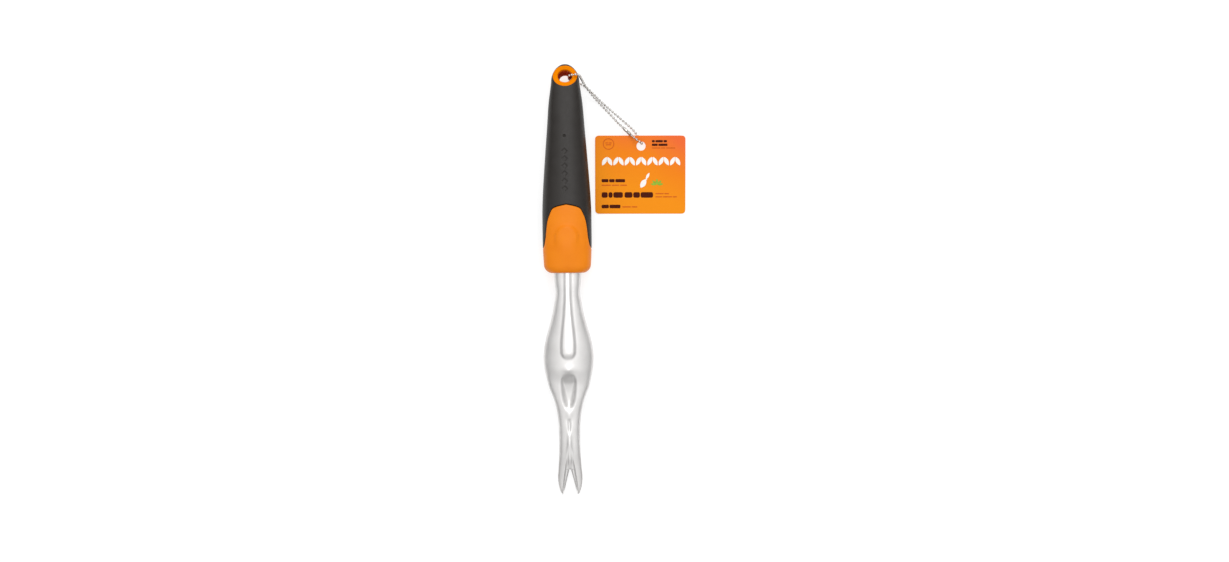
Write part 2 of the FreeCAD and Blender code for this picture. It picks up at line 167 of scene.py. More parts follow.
def along(stations, t):
    """Monotone cubic curve through stations at every t: slopes are harmonic means, and nought at a turn."""
    places, values = np.array(stations, float).T
    t = np.clip(np.asarray(t, float), places[0], places[-1])
    steps = np.diff(values) / np.diff(places)
    before, after = steps[:-1], steps[1:]
    product = before * after
    total = np.where(product > 0, before + after, 1.0)
    slopes = np.concatenate([steps[:1], np.where(product > 0, 2 * product / total, 0.0), steps[-1:]])
    i = np.clip(np.searchsorted(places, t, side="right") - 1, 0, len(steps) - 1)
    span = places[i + 1] - places[i]
    s = (t - places[i]) / span
    return ((2 * s**3 - 3 * s**2 + 1) * values[i] + (s**3 - 2 * s**2 + s) * span * slopes[i]
            + (3 * s**2 - 2 * s**3) * values[i + 1] + (s**3 - s**2) * span * slopes[i + 1])


def signed_power(value, power):
    return np.sign(value) * np.abs(value) ** power


def smooth_step(value):
    """Nought below 0, one above 1, and 3s^2 - 2s^3 between."""
    s = np.clip(value, 0.0, 1.0)
    return s * s * (3 - 2 * s)


def plateau(distance, half_width, slope):
    """One inside half_width, nought outside, with a smooth side as wide as slope centred on the edge."""
    return 1 - smooth_step((np.abs(distance) - half_width) / slope + 0.5)


def lengths_along(points):
    """Distance from the first point of a line to each of its points, along it."""
    return np.concatenate([[0], np.cumsum(np.linalg.norm(np.diff(points, axis=0), axis=1))])


# ---- meshes --------------------------------------------------------------------------------------

def grid_faces(rows, columns, wrap_rows=False, wrap_columns=False):
    """Four corners of every cell of a grid of points, numbered row by row."""
    r = np.arange(rows if wrap_rows else rows - 1)[:, None]
    c = np.arange(columns if wrap_columns else columns - 1)[None, :]
    r_next, c_next = (r + 1) % rows, (c + 1) % columns
    corners = [r * columns + c, r * columns + c_next, r_next * columns + c_next, r_next * columns + c]
    return np.stack([np.broadcast_to(k, (r.size, c.size)).ravel() for k in corners], axis=1)


def fan(ring, centre):
    """Triangles from a closed ring of point numbers to one centre."""
    return np.stack([ring, np.roll(ring, -1), np.full(len(ring), centre)], axis=1)


def enclosed_volume(points, face_sets):
    """Signed volume of a closed surface: a sixth of the triple product of every triangle."""
    total = 0.0
    for faces in face_sets:
        for k in range(1, faces.shape[1] - 1):
            a, b, c = points[faces[:, 0]], points[faces[:, k]], points[faces[:, k + 1]]
            total += np.einsum("ij,ij->", a, np.cross(b, c)) / 6
    return total


def make_mesh(name, points, face_sets):
    """Mesh in metres from points in millimetres; its faces are turned to point outwards."""
    points = np.asarray(points, float).reshape(-1, 3)
    if enclosed_volume(points - points.mean(axis=0), face_sets) < 0:
        face_sets = [f[:, ::-1] for f in face_sets]
    sizes = np.concatenate([np.full(len(f), f.shape[1]) for f in face_sets])
    mesh = bpy.data.meshes.new(name)
    mesh.vertices.add(len(points))
    mesh.vertices.foreach_set("co", (points * MM).ravel())
    mesh.loops.add(int(sizes.sum()))
    mesh.loops.foreach_set("vertex_index", np.concatenate([f.ravel() for f in face_sets]).astype(np.int32))
    mesh.polygons.add(len(sizes))
    mesh.polygons.foreach_set("loop_start", (np.cumsum(sizes) - sizes).astype(np.int32))
    mesh.update(calc_edges=True)
    mesh.validate()
    mesh.shade_smooth()
    return mesh


def make_piece(name, mesh, finish, body="root", replaces=()):
    piece = bpy.data.objects.new(name, mesh)
    bpy.context.collection.objects.link(piece)
    mesh.materials.append(finish)
    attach(piece, body)
    if replaces:
        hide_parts(*replaces)
    return piece


def merge_doubles(piece, distance=1e-6):
    """Joins points that coincide, as along a mirror line."""
    work = bmesh.new()
    work.from_mesh(piece)
    bmesh.ops.remove_doubles(work, verts=work.verts, dist=distance)
    bmesh.ops.recalc_face_normals(work, faces=work.faces)
    work.to_mesh(piece)
    work.free()
    piece.shade_smooth()
    return piece


# ---- materials -----------------------------------------------------------------------------------

class Finish:
    """A node material whose parts are added by short calls; reads Object coordinates."""

    def __init__(self, name, colour, roughness, metallic=0.0, ior=1.45):
        self.material = bpy.data.materials.new(name)
        self.material.use_nodes = True
        self.nodes = self.material.node_tree.nodes
        self.links = self.material.node_tree.links
        self.shader = self.nodes["Principled BSDF"]
        self.shader.inputs["Base Color"].default_value = (*colour, 1)
        self.shader.inputs["Roughness"].default_value = roughness
        self.shader.inputs["Metallic"].default_value = metallic
        self.shader.inputs["IOR"].default_value = ior
        self.place = self.nodes.new("ShaderNodeTexCoord").outputs["Object"]
        self.colour = None

    def noise(self, size_mm, detail=3.0, stretch=None):
        """Noise whose blobs are about size_mm across."""
        node = self.nodes.new("ShaderNodeTexNoise")
        node.inputs["Scale"].default_value = 1 / (size_mm * MM)
        node.inputs["Detail"].default_value = detail
        place = self.place
        if stretch:
            mapping = self.nodes.new("ShaderNodeMapping")
            mapping.inputs["Scale"].default_value = stretch
            self.links.new(place, mapping.inputs["Vector"])
            place = mapping.outputs["Vector"]
        self.links.new(place, node.inputs["Vector"])
        return node.outputs["Fac"]

    def ramp(self, value, stops):
        """Colour ramp through (position, colour) stops."""
        node = self.nodes.new("ShaderNodeValToRGB")
        ramp = node.color_ramp
        while len(ramp.elements) < len(stops):
            ramp.elements.new(0.5)
        for element, (position, colour) in zip(ramp.elements, stops):
            element.position = position
            element.color = (*colour, 1)
        self.links.new(value, node.inputs["Fac"])
        return node.outputs["Color"]

    def mottle(self, dark, light, size_mm, detail=4.0):
        """Base colour that wanders between two near tones."""
        self.colour = self.ramp(self.noise(size_mm, detail), [(0.3, dark), (0.7, light)])
        self.links.new(self.colour, self.shader.inputs["Base Color"])

    def roughness_range(self, low, high, size_mm, detail=3.0):
        node = self.nodes.new("ShaderNodeMapRange")
        node.inputs["From Min"].default_value = 0.3
        node.inputs["From Max"].default_value = 0.7
        node.inputs["To Min"].default_value = low
        node.inputs["To Max"].default_value = high
        self.links.new(self.noise(size_mm, detail), node.inputs["Value"])
        self.links.new(node.outputs["Result"], self.shader.inputs["Roughness"])

    def bump(self, heights):
        """Bump from a list of (noise value, depth in millimetres), one after another."""
        normal = None
        for value, depth_mm in heights:
            node = self.nodes.new("ShaderNodeBump")
            node.inputs["Strength"].default_value = 1.0
            node.inputs["Distance"].default_value = depth_mm * MM
            self.links.new(value, node.inputs["Height"])
            if normal:
                self.links.new(normal, node.inputs["Normal"])
            normal = node.outputs["Normal"]
        self.links.new(normal, self.shader.inputs["Normal"])


def tumbled_aluminium():
    finish = Finish("tumbled_aluminium", (0.76, 0.755, 0.75), 0.36, metallic=1.0)
    finish.mottle((0.735, 0.722, 0.712), (0.79, 0.778, 0.768), 9.0)
    finish.roughness_range(0.38, 0.48, 3.0)
    finish.bump([(finish.noise(0.35, 2.0), 0.002), (finish.noise(6.0, 2.0), 0.03)])
    return finish.material


def moulded_orange(name, ior):
    finish = Finish(name, (0.80, 0.215, 0.001), 0.42, ior=ior)
    finish.mottle((0.785, 0.205, 0.001), (0.815, 0.225, 0.002), 14.0)
    finish.roughness_range(0.36, 0.48, 2.0)
    finish.bump([(finish.noise(0.30, 2.0), 0.006)])
    return finish.material


def lining_orange_painted_shade():
    """The collar's orange at both mouths of the hang hole, with painted shade inside it: dark red by height,
    between about 9 and 18 mm above the floor.
    """
    material = moulded_orange("lining_orange_painted_shade", ior=1.02)
    nodes, links = material.node_tree.nodes, material.node_tree.links
    split = nodes.new("ShaderNodeSeparateXYZ")
    links.new(nodes["Texture Coordinate"].outputs["Object"], split.inputs["Vector"])
    height = nodes.new("ShaderNodeMapRange")
    height.inputs["From Max"].default_value = 30 * MM
    links.new(split.outputs["Z"], height.inputs["Value"])
    ramp = nodes.new("ShaderNodeValToRGB")
    # painted shade: the base colour turns dark red halfway down the bore, for the shadow inside the hole
    bright, painted_dark_red = (0.80, 0.215, 0.001, 1), (0.46, 0.045, 0.002, 1)
    for position in (0.30, 0.60):
        ramp.color_ramp.elements.new(position).color = painted_dark_red
    ramp.color_ramp.elements[0].position, ramp.color_ramp.elements[0].color = 0.21, bright
    ramp.color_ramp.elements[3].position, ramp.color_ramp.elements[3].color = 0.72, bright
    links.new(height.outputs["Result"], ramp.inputs["Fac"])
    links.new(ramp.outputs["Color"], nodes["Principled BSDF"].inputs["Base Color"])
    return material


def soft_touch_black():
    finish = Finish("soft_touch_black", (0.014, 0.011, 0.009), 0.40, ior=1.42)
    finish.mottle((0.012, 0.009, 0.007), (0.016, 0.013, 0.011), 7.0)
    finish.roughness_range(0.40, 0.50, 1.2)
    finish.bump([(finish.noise(0.22, 2.0), 0.010)])
    return finish.material


def nickel_plate():
    finish = Finish("nickel_plate", (0.72, 0.70, 0.67), 0.22, metallic=1.0)
    finish.mottle((0.50, 0.48, 0.46), (0.64, 0.62, 0.59), 4.0)
    finish.roughness_range(0.12, 0.24, 1.0)
    return finish.material


def varnished_card():
    """Print that runs from yellow-orange at the lower left to red-orange at the upper right."""
    finish = Finish("varnished_card", (0.80, 0.21, 0.004), 0.45, ior=1.2)
    centre = (tag_low + tag_high) / 2
    mapping = finish.nodes.new("ShaderNodeMapping")
    mapping.vector_type = "POINT"
    mapping.inputs["Scale"].default_value = (1 / (CARD_WIDTH * MM),) * 3
    mapping.inputs["Location"].default_value = tuple(-centre / CARD_WIDTH)
    finish.links.new(finish.place, mapping.inputs["Vector"])
    split = finish.nodes.new("ShaderNodeSeparateXYZ")
    finish.links.new(mapping.outputs["Vector"], split.inputs["Vector"])
    weigh = finish.nodes.new("ShaderNodeMath")
    weigh.operation = "MULTIPLY_ADD"
    weigh.inputs[1].default_value = 0.45
    finish.links.new(split.outputs["X"], weigh.inputs[0])
    finish.links.new(split.outputs["Y"], weigh.inputs[2])
    lift = finish.nodes.new("ShaderNodeMath")
    lift.operation = "MULTIPLY_ADD"
    lift.inputs[1].default_value = 0.30
    finish.links.new(finish.noise(26.0, 1.0), lift.inputs[0])
    finish.links.new(weigh.outputs["Value"], lift.inputs[2])
    colour = finish.ramp(lift.outputs["Value"], [(0.0, (0.82, 0.255, 0.002)), (0.35, (0.80, 0.205, 0.004)),
                                                (0.75, (0.78, 0.135, 0.030))])
    finish.links.new(colour, finish.shader.inputs["Base Color"])
    finish.bump([(finish.noise(0.5, 2.0), 0.002)])
    return finish.material


def printing_ink(name, dark, light):
    finish = Finish(name, dark, 0.45, ior=1.12)
    finish.mottle(dark, light, 1.5)
    return finish.material


def floor_paint():
    """White light table: it glows a little, so the tool throws hardly any shadow on it."""
    finish = Finish("floor_paint", (0.35, 0.35, 0.35), 0.9, ior=1.1)
    finish.mottle((0.345, 0.345, 0.345), (0.355, 0.355, 0.355), 400.0)
    finish.shader.inputs["Emission Color"].default_value = (1, 1, 1, 1)
    finish.shader.inputs["Emission Strength"].default_value = 0.70
    return finish.material


# ---- camera, light and floor ---------------------------------------------------------------------

VIEW_WIDTH = 921.75            # what the view takes in across, at the tool's middle height
CAMERA_HEIGHT = 1150.0
CAMERA_PLACE = (35.1, -0.85)
LEAN = 0.01225                    # the tool leans to the left by this much in the view


def add_camera():
    camera_data = bpy.data.cameras.new("camera")
    camera_data.sensor_width = 36
    camera_data.lens = 36 * (CAMERA_HEIGHT - AXIS_HEIGHT) / VIEW_WIDTH
    camera_data.clip_start = 0.01
    camera = bpy.data.objects.new("camera", camera_data)
    bpy.context.collection.objects.link(camera)
    up = Vector((LEAN, 1, 0)).normalized()
    back = Vector((0, 0, 1))
    right = up.cross(back)
    turn = Matrix((right, up, back)).transposed().to_4x4()
    place = (CAMERA_PLACE[0] * MM, CAMERA_PLACE[1] * MM, CAMERA_HEIGHT * MM)
    camera.matrix_world = Matrix.Translation(place) @ turn
    bpy.context.scene.camera = camera


def add_softbox(name, place, aim, size, power, colour=(1, 1, 1)):
    light_data = bpy.data.lights.new(name, "AREA")
    light_data.shape = "RECTANGLE"
    light_data.size, light_data.size_y = size
    light_data.energy = power
    light_data.color = colour
    light = bpy.data.objects.new(name, light_data)
    bpy.context.collection.objects.link(light)
    light.location = place
    light.rotation_euler = (Vector(aim) - Vector(place)).to_track_quat("-Z", "Y").to_euler()


def add_room_light():
    """Sky that is brightest overhead and dim at the horizon, more so beyond the fork."""
    world = bpy.data.worlds.new("room")
    bpy.context.scene.world = world
    world.use_nodes = True
    nodes, links = world.node_tree.nodes, world.node_tree.links
    place = nodes.new("ShaderNodeTexCoord").outputs["Generated"]
    split = nodes.new("ShaderNodeSeparateXYZ")
    links.new(place, split.inputs["Vector"])
    value = split.outputs["Z"]
    for axis, share in (("X", 0.02), ("Y", 0.10)):
        lean = nodes.new("ShaderNodeMath")
        lean.operation = "MULTIPLY_ADD"
        lean.inputs[1].default_value = share
        links.new(split.outputs[axis], lean.inputs[0])
        links.new(value, lean.inputs[2])
        value = lean.outputs["Value"]
    ramp = nodes.new("ShaderNodeValToRGB")
    stops = [(0.0, 0.12), (0.20, 0.22), (0.45, 0.58), (0.70, 0.86), (0.90, 0.93), (1.0, 0.95)]
    while len(ramp.color_ramp.elements) < len(stops):
        ramp.color_ramp.elements.new(0.5)
    for element, (position, grey) in zip(ramp.color_ramp.elements, stops):
        element.position = position
        element.color = (grey, grey, grey, 1)
    links.new(value, ramp.inputs["Fac"])
    background = nodes["Background"]
    links.new(ramp.outputs["Color"], background.inputs["Color"])
    background.inputs["Strength"].default_value = 1.18


def add_floor():
    """Flat plate 4 m across, as fine as a grid of 8 by 8 cells."""
    half = 2000.0
    side = np.linspace(-half, half, 9)
    x, y = np.meshgrid(side, side)
    top = np.stack([x, y, np.zeros_like(x)], axis=-1).reshape(-1, 3)
    mesh = bpy.data.meshes.new("floor")
    mesh.from_pydata((top * MM).tolist(), [], grid_faces(9, 9).tolist())
    mesh.materials.append(floor_paint())
    floor = bpy.data.objects.new("floor", mesh)
    bpy.context.collection.objects.link(floor)


def set_the_stage():
    add_camera()
    add_room_light()
    add_floor()
    add_softbox("overhead_softbox", (0.12, 0.4, 2.0), (0.03, 0, 0), (1.0, 1.0), 6.5)
    add_softbox("rear_softbox", (0.1, 1.3, 1.1), (0.0, 0, 0), (0.6, 0.6), 6.0)
    bpy.context.scene.view_settings.view_transform = "Standard"


# ---- the chain -----------------------------------------------------------------------------------

def smooth_route(points):
    """Points along the NURBS spline of order 3 that has the given control points, in metres."""
    curve = bpy.data.curves.new("route", "CURVE")
    curve.dimensions = "3D"
    spline = curve.splines.new("NURBS")
    spline.points.add(len(points) - 1)
    spline.points.foreach_set("co", np.c_[np.array(points) * MM, np.ones(len(points))].ravel())
    spline.order_u = 3
    spline.use_endpoint_u = True
    spline.resolution_u = 16
    holder = bpy.data.objects.new("route", curve)
    bpy.context.collection.objects.link(holder)
    line = bpy.data.meshes.new_from_object(holder)
    places = np.empty(len(line.vertices) * 3)
    line.vertices.foreach_get("co", places)
    bpy.data.objects.remove(holder)
    bpy.data.curves.remove(curve)
    bpy.data.meshes.remove(line)
    return places.reshape(-1, 3)


def turned_along(place, direction, profile, columns):
    """Surface of revolution: each (distance, radius) of profile is a circle across direction from place."""
    direction = direction / np.linalg.norm(direction)
    helper = np.array([0.0, 0.0, 1.0]) if abs(direction[2]) < 0.9 else np.array([1.0, 0.0, 0.0])
    side = np.cross(direction, helper)
    side /= np.linalg.norm(side)
    other = np.cross(direction, side)
    angle = np.linspace(0, 2 * math.pi, columns, endpoint=False)
    around = np.cos(angle)[:, None] * side + np.sin(angle)[:, None] * other
    profile = np.array(profile, float)
    rings = place + profile[:, None, 0:1] * direction + profile[:, None, 1:2] * around
    return rings


def closed_turning(rings):
    """Points and faces of a turned shape with both ends closed to a point on its axis."""
    rows, columns = rings.shape[:2]
    poles = [rings[0].mean(axis=0)[None], rings[-1].mean(axis=0)[None]]
    points = np.concatenate([rings.reshape(-1, 3), *poles])
    first, last = np.arange(columns), np.arange(columns) + (rows - 1) * columns
    tris = np.concatenate([fan(first[::-1], rows * columns), fan(last, rows * columns + 1)])
    return points, grid_faces(rows, columns, wrap_columns=True), tris


def ball_profile(radius, rows):
    """Distances along the axis and radii of a ball's rows, without its poles."""
    angle = np.linspace(0, math.pi, rows + 2)[1:-1]
    return [(-radius * math.cos(a), radius * math.sin(a)) for a in angle]


def bead_chain(path_m, finish, clasp):
    """Closed balls every pitch along the route, joined by thin links with a dumbbell's waist."""
    path = path_m / MM
    lengths = lengths_along(path)
    count = int(lengths[-1] / BEAD_PITCH) + 1
    stations = (lengths[-1] - (count - 1) * BEAD_PITCH) / 2 + np.arange(count) * BEAD_PITCH
    centres = np.stack([np.interp(stations, lengths, path[:, k]) for k in range(3)], axis=1)
    radius = CHAIN_DIAMETER / 2
    points, quads, tris, start = [], [], [], 0
    shapes = [turned_along(c, d, ball_profile(radius, 8), 14)
              for c, d in zip(centres, np.gradient(centres, axis=0))]
    waist = [(0.15, 0.30), (0.35, 0.26), (0.5, 0.25), (0.65, 0.26), (0.85, 0.30)]
    for a, b in zip(centres, centres[1:]):
        shapes.append(turned_along(a, b - a, [(s * np.linalg.norm(b - a), r) for s, r in waist], 8))
    for rings in shapes:
        p, q, t = closed_turning(rings)
        points.append(p)
        quads.append(q + start)
        tris.append(t + start)
        start += len(p)
    mesh = make_mesh("ball_chain", np.concatenate(points), [np.concatenate(quads), np.concatenate(tris)])
    chain = make_piece("ball_chain", mesh, finish, replaces=("bead_chain",))
    return chain


CLASP_RADIUS = 1.31
CLASP_WAIST = 0.16                # how much thinner its middle is
CLASP_LIP = 0.45                  # rounding of both ends


def chain_clasp(finish):
    """Rolled sleeve that grips both end balls: a waisted tube with rounded lips and a raised seam."""
    start, end = np.array(CHAIN_ROUTE[-1]), np.array(CHAIN_ROUTE[0])
    length = np.linalg.norm(end - start)
    s = np.linspace(0, 1, 41)
    from_end = np.minimum(s, 1 - s) * length
    radius = CLASP_RADIUS - CLASP_WAIST * np.exp(-((s - 0.5) / 0.10) ** 2)
    lip = np.clip(1 - from_end / CLASP_LIP, 0, 1)
    radius -= CLASP_LIP * (1 - np.sqrt(1 - lip**2))
    rings = turned_along(start, end - start, np.c_[s * length, radius], 40)
    axis_point = start + s[:, None, None] * (end - start)
    angle = np.arange(40) / 40
    seam = 1 + 0.05 * np.exp(-((angle - 0.25) / 0.02) ** 2) - 0.10 * np.exp(-((angle - 0.29) / 0.015) ** 2)
    rings = axis_point + (rings - axis_point) * seam[None, :, None]
    p, q, t = closed_turning(rings)
    return make_piece("chain_clasp", make_mesh("chain_clasp", p, [q, t]), finish,
                      replaces=("chain_connector",))


# ---- the handle ----------------------------------------------------------------------------------

def handle_point(angle, y, inset=0.0):
    """Point of the handle's skin: a superellipse across the tool, with corners closed at mouth and butt."""
    angle, y, inset = np.broadcast_arrays(np.asarray(angle, float), np.asarray(y, float), inset)
    t = (y - MOUTH_Y) / HANDLE_LENGTH
    gap = np.clip(MOUTH_CORNER - (y - MOUTH_Y), 0, MOUTH_CORNER)
    cut = MOUTH_CORNER - np.sqrt(MOUTH_CORNER**2 - gap**2)
    into_cap = np.clip((y - (BUTT_Y - BUTT_CAP)) / CAP_REACH, 0, 1)
    half = (along(HANDLE_HALF_WIDTH, t) - cut) * np.sqrt(1 - into_cap**2)
    squeeze = (1 - into_cap**6) ** (1 / 6)
    front = (along(HANDLE_FRONT, t) - cut * MOUTH_CORNER_SHARE - AXIS_HEIGHT) * squeeze
    back = (AXIS_HEIGHT - along(HANDLE_BACK, t) - cut * MOUTH_CORNER_SHARE) * squeeze
    power = along(HANDLE_POWER, t)
    x = np.maximum(half - inset, 0) * signed_power(np.cos(angle), 2 / power)
    rise = signed_power(np.sin(angle), 2 / power)
    z = AXIS_HEIGHT + rise * np.maximum(np.where(rise > 0, front, back) - inset, 0)
    return np.stack([x, y, z], axis=-1)


def parting_line(count):
    """Angles and heights of the parting line, evenly spaced, from the front's middle all the way round."""
    def angle_from_front(x, height):
        t = height / HANDLE_LENGTH
        share = (x / along(HANDLE_HALF_WIDTH, t)) ** (along(HANDLE_POWER, t) / 2)
        return math.degrees(math.asin(min(1.0, float(share))))
    stations = [(angle_from_front(x, h), h) for x, h in ARCH] + [(90, ARCH_SIDE), (180, ARCH_BACK)]
    way = np.linspace(0, 360, 4001)
    y = MOUTH_Y + along(stations, np.minimum(way, 360 - way))
    points = handle_point(np.radians(90 - way), y)
    lengths = lengths_along(points)
    even = np.interp(np.arange(count) / count * lengths[-1], lengths, way)
    return np.radians(90 - even), np.interp(even, way, y)


def shifted(angle, y, distance):
    """The parting line moved sideways over the skin by distance, towards the butt where it is positive."""
    step = 1e-3
    across = (handle_point(angle + step, y) - handle_point(angle - step, y)) / (2 * step)
    lengthwise = (handle_point(angle, y + step) - handle_point(angle, y - step)) / (2 * step)
    line = handle_point(angle, y)
    tangent = np.roll(line, -1, axis=0) - np.roll(line, 1, axis=0)
    normal = np.cross(across, lengthwise)
    sideways = np.cross(normal, tangent)
    sideways /= np.linalg.norm(sideways, axis=1, keepdims=True)
    sideways *= np.sign(sideways[:, 1:2].mean())
    dot = lambda a, b: np.einsum("ij,ij->i", a, b)
    aa, ab, bb = dot(across, across), dot(across, lengthwise), dot(lengthwise, lengthwise)
    pa, pb = dot(sideways, across), dot(sideways, lengthwise)
    det = aa * bb - ab**2
    return (angle + distance * (pa * bb - pb * ab) / det, y + distance * (pb * aa - pa * ab) / det)


def edge_rows(angle, y, side):
    """Rows from the skin, over a rounded edge and down the wall of the parting line, on one side of it."""
    rows = []
    for a in np.radians([0, 15, 30, 45, 60, 75, 90]):
        distance = side * (PARTING_GAP / 2 + PARTING_EDGE * (1 - math.sin(a)))
        rows.append(handle_point(*shifted(angle, y, distance), PARTING_EDGE * (1 - math.cos(a))))
    wall = shifted(angle, y, side * PARTING_GAP / 2)
    rows.append(handle_point(*wall, PARTING_DEPTH))
    rows.append(handle_point(*wall, SLEEVE_WALL))
    return rows


def blend_rows(start, end, count):
    """Pairs of angle and height that go evenly from one line to another, both ends left out."""
    share = np.linspace(0, 1, count + 2)[1:-1, None]
    return start[0] + (end[0] - start[0]) * share, start[1] + (end[1] - start[1]) * share


COLUMNS = 320


def even_ring(y):
    """Angles evenly spaced along the skin's section at y, in step with the parting line's columns."""
    way = np.linspace(0, 360, 2001)
    points = handle_point(np.radians(90 - way), np.full_like(way, y))
    lengths = lengths_along(points)
    even = np.interp(np.arange(COLUMNS) / COLUMNS * lengths[-1], lengths, way)
    return np.radians(90 - even), np.full(COLUMNS, float(y))


PAD_REACH = 6.6
PAD_SHOULDER = 26.5
PAD_RISE = 1.7
PAD_STEP = 3.6                    # width of the step above the thumb
PAD_FLAT = 2.0                    # half width at full height below the shoulder
PAD_SIDE = 11.0                   # widths of the slopes beside and below
PAD_FOOT = 20.0
PAD_BLEND = 9.0                   # length over which the step gives way to the side slopes
PAD_FADE = 8.0                    # height above the axis over which the mound comes in


def thumb_rest(points):
    """Raises a mound on the collar's front: a soft step above the thumb, long slopes beside and below."""
    x, y, z = points[..., 0], points[..., 1] - MOUTH_Y, points[..., 2]
    above = 1 - smooth_step((np.hypot(x, np.maximum(y - PAD_SHOULDER, 0)) - PAD_REACH) / PAD_STEP)
    beside = 1 - smooth_step((np.abs(x) - PAD_FLAT) / PAD_SIDE)
    below = smooth_step((y - 1.0) / PAD_FOOT)
    front = smooth_step((z - AXIS_HEIGHT) / PAD_FADE)
    blend = smooth_step((y - PAD_SHOULDER + PAD_BLEND) / PAD_BLEND)
    lift = np.where(y > PAD_SHOULDER, above, above * blend + beside * (1 - blend))
    points[..., 2] += PAD_RISE * lift * below * front
    return points


def neck_ring(angle, y, clearance=0.0):
    """Section of the head's neck where it leaves the collar."""
    half = along(HEAD_HALF_WIDTH, 0) + clearance
    front = along(HEAD_FRONT, 0) - AXIS_HEIGHT + clearance
    back = AXIS_HEIGHT - along(HEAD_BACK, 0) + clearance
    power = along(HEAD_POWER, 0)
    rise = signed_power(np.sin(angle), 2 / power)
    x = half * signed_power(np.cos(angle), 2 / power)
    return np.stack([x, np.full_like(x, y), AXIS_HEIGHT + rise * np.where(rise > 0, front, back)], axis=-1)


def collar(finish):
    """Orange collar: end face round the neck, rounded mouth, skin to the parting line, wall and inside."""
    line = parting_line(COLUMNS)
    mouth = even_ring(MOUTH_Y + MOUTH_CORNER)
    rows = []
    mouth_ring = handle_point(mouth[0], np.full(COLUMNS, MOUTH_Y))
    neck = neck_ring(mouth[0], MOUTH_Y, 0.05)
    for share in (0.0, 0.25, 0.5, 0.75):
        rows.append(neck + (mouth_ring - neck) * share)
    for a in np.radians(np.linspace(0, 90, 15)):
        rows.append(handle_point(mouth[0], np.full(COLUMNS, MOUTH_Y + MOUTH_CORNER * (1 - math.cos(a)))))
    edge = edge_rows(*line, -1)
    angles, heights = blend_rows(mouth, shifted(*line, -(PARTING_GAP / 2 + PARTING_EDGE)), 104)
    rows += list(handle_point(angles, heights))
    rows += edge
    angles, heights = blend_rows(shifted(*line, -PARTING_GAP / 2), (mouth[0], mouth[1] + 1.0), 12)
    rows += list(handle_point(angles, heights, SLEEVE_WALL))
    rows.append(neck_ring(mouth[0], MOUTH_Y + 4.0, 0.05))
    points = thumb_rest(np.array(rows))
    faces = grid_faces(len(rows), COLUMNS, wrap_rows=True, wrap_columns=True)
    return make_piece("orange_collar", make_mesh("orange_collar", points, [faces]), finish,
                      replaces=("handle_core",))


MARK_X = -0.9
MARK_HALF = (2.6, 2.5)
MARK_YS = np.linspace(68.0, 96.0, 6)
DOT_Y = 107.4
MARK_DEPTH = 0.42
MARKS_START = 58.0                # over the mouth: where the close rows for the marks begin
CAP_INSIDE = [0.78, 0.78, 0.75]   # the sleeve's inside at the butt, as shares of its outside


def press_marks(points):
    """Presses a line of plain lozenges and one dot into the sleeve's front."""
    x, y, z = points[..., 0] - MARK_X, points[..., 1], points[..., 2]
    pressed = 2.0 * plateau(np.hypot(x, y - DOT_Y), 0.8, 0.6)
    for mark_y in MARK_YS:
        reach = np.abs(x) / MARK_HALF[0] + np.abs(y - mark_y) / MARK_HALF[1]
        pressed = np.maximum(pressed, 0.9 * plateau(reach, 0.85, 0.4))
    points[..., 2] -= MARK_DEPTH * pressed * (z > AXIS_HEIGHT)
    return points


def cut_with(piece, cutter):
    """Cuts cutter out of piece, applies the cut and removes the cutter."""
    modifier = piece.modifiers.new("cut", "BOOLEAN")
    modifier.operation = "DIFFERENCE"
    modifier.solver = "EXACT"
    modifier.object = cutter
    with bpy.context.temp_override(object=piece, active_object=piece):
        bpy.ops.object.modifier_apply(modifier="cut")
    bpy.data.objects.remove(cutter)


def oval_post(half, low_z, high_z, columns=220):
    """Upright oval post on the hang hole's axis."""
    angle = np.linspace(0, 2 * math.pi, columns, endpoint=False)
    ring = np.stack([half[0] * np.cos(angle), EYE_Y + half[1] * np.sin(angle), np.zeros(columns)], axis=-1)
    rings = np.stack([ring + [0, 0, low_z], ring + [0, 0, high_z]])
    p, q, t = closed_turning(rings)
    post = bpy.data.objects.new("post", make_mesh("post", p, [q, t]))
    bpy.context.collection.objects.link(post)
    return post


def grip(finish):
    """Black sleeve: inner wall from its pole, round the parting line's edge, then the skin to the butt."""
    line = parting_line(COLUMNS)
    ring_y = MOUTH_Y + MARKS_START
    ring = even_ring(ring_y)
    rows = []
    cap_start = BUTT_Y - BUTT_CAP
    cap = np.radians(np.linspace(90, 0, 18))
    centre = np.array([0, EYE_Y, AXIS_HEIGHT])
    for a in cap:
        outer = handle_point(ring[0], np.full(COLUMNS, cap_start + CAP_REACH * math.sin(a)))
        rows.append(centre + (outer - centre) * CAP_INSIDE)
    for y in np.linspace(cap_start, ring_y, 14)[1:]:
        rows.append(handle_point(ring[0], np.full(COLUMNS, y), SLEEVE_WALL))
    angles, heights = blend_rows(ring, shifted(*line, PARTING_GAP / 2), 6)
    rows += list(handle_point(angles, heights, SLEEVE_WALL))
    rows += edge_rows(*line, 1)[::-1]
    angles, heights = blend_rows(shifted(*line, PARTING_GAP / 2 + PARTING_EDGE), ring, 60)
    rows += list(handle_point(angles, heights))
    marks_end = DOT_Y + 2.5
    for y in np.linspace(ring_y, marks_end, 150):
        rows.append(handle_point(ring[0], np.full(COLUMNS, y)))
    for y in np.linspace(marks_end, cap_start, 46)[1:]:
        rows.append(handle_point(ring[0], np.full(COLUMNS, y)))
    for a in np.radians(np.linspace(0, 90, 27))[1:]:
        rows.append(handle_point(ring[0], np.full(COLUMNS, cap_start + CAP_REACH * math.sin(a))))
    points, quads, tris = closed_turning(press_marks(np.array(rows))[1:-1])
    points[-2] = rows[0][0]
    points[-1] = rows[-1][0]
    sleeve = make_piece("black_grip", make_mesh("black_grip", points, [quads, tris]), finish,
                        replaces=("grip_sleeve",))
    cut_with(sleeve, oval_post(FLANGE_HALF - 0.15, -20, 60))
    sleeve.data.set_sharp_from_angle(angle=math.radians(50))
    return sleeve


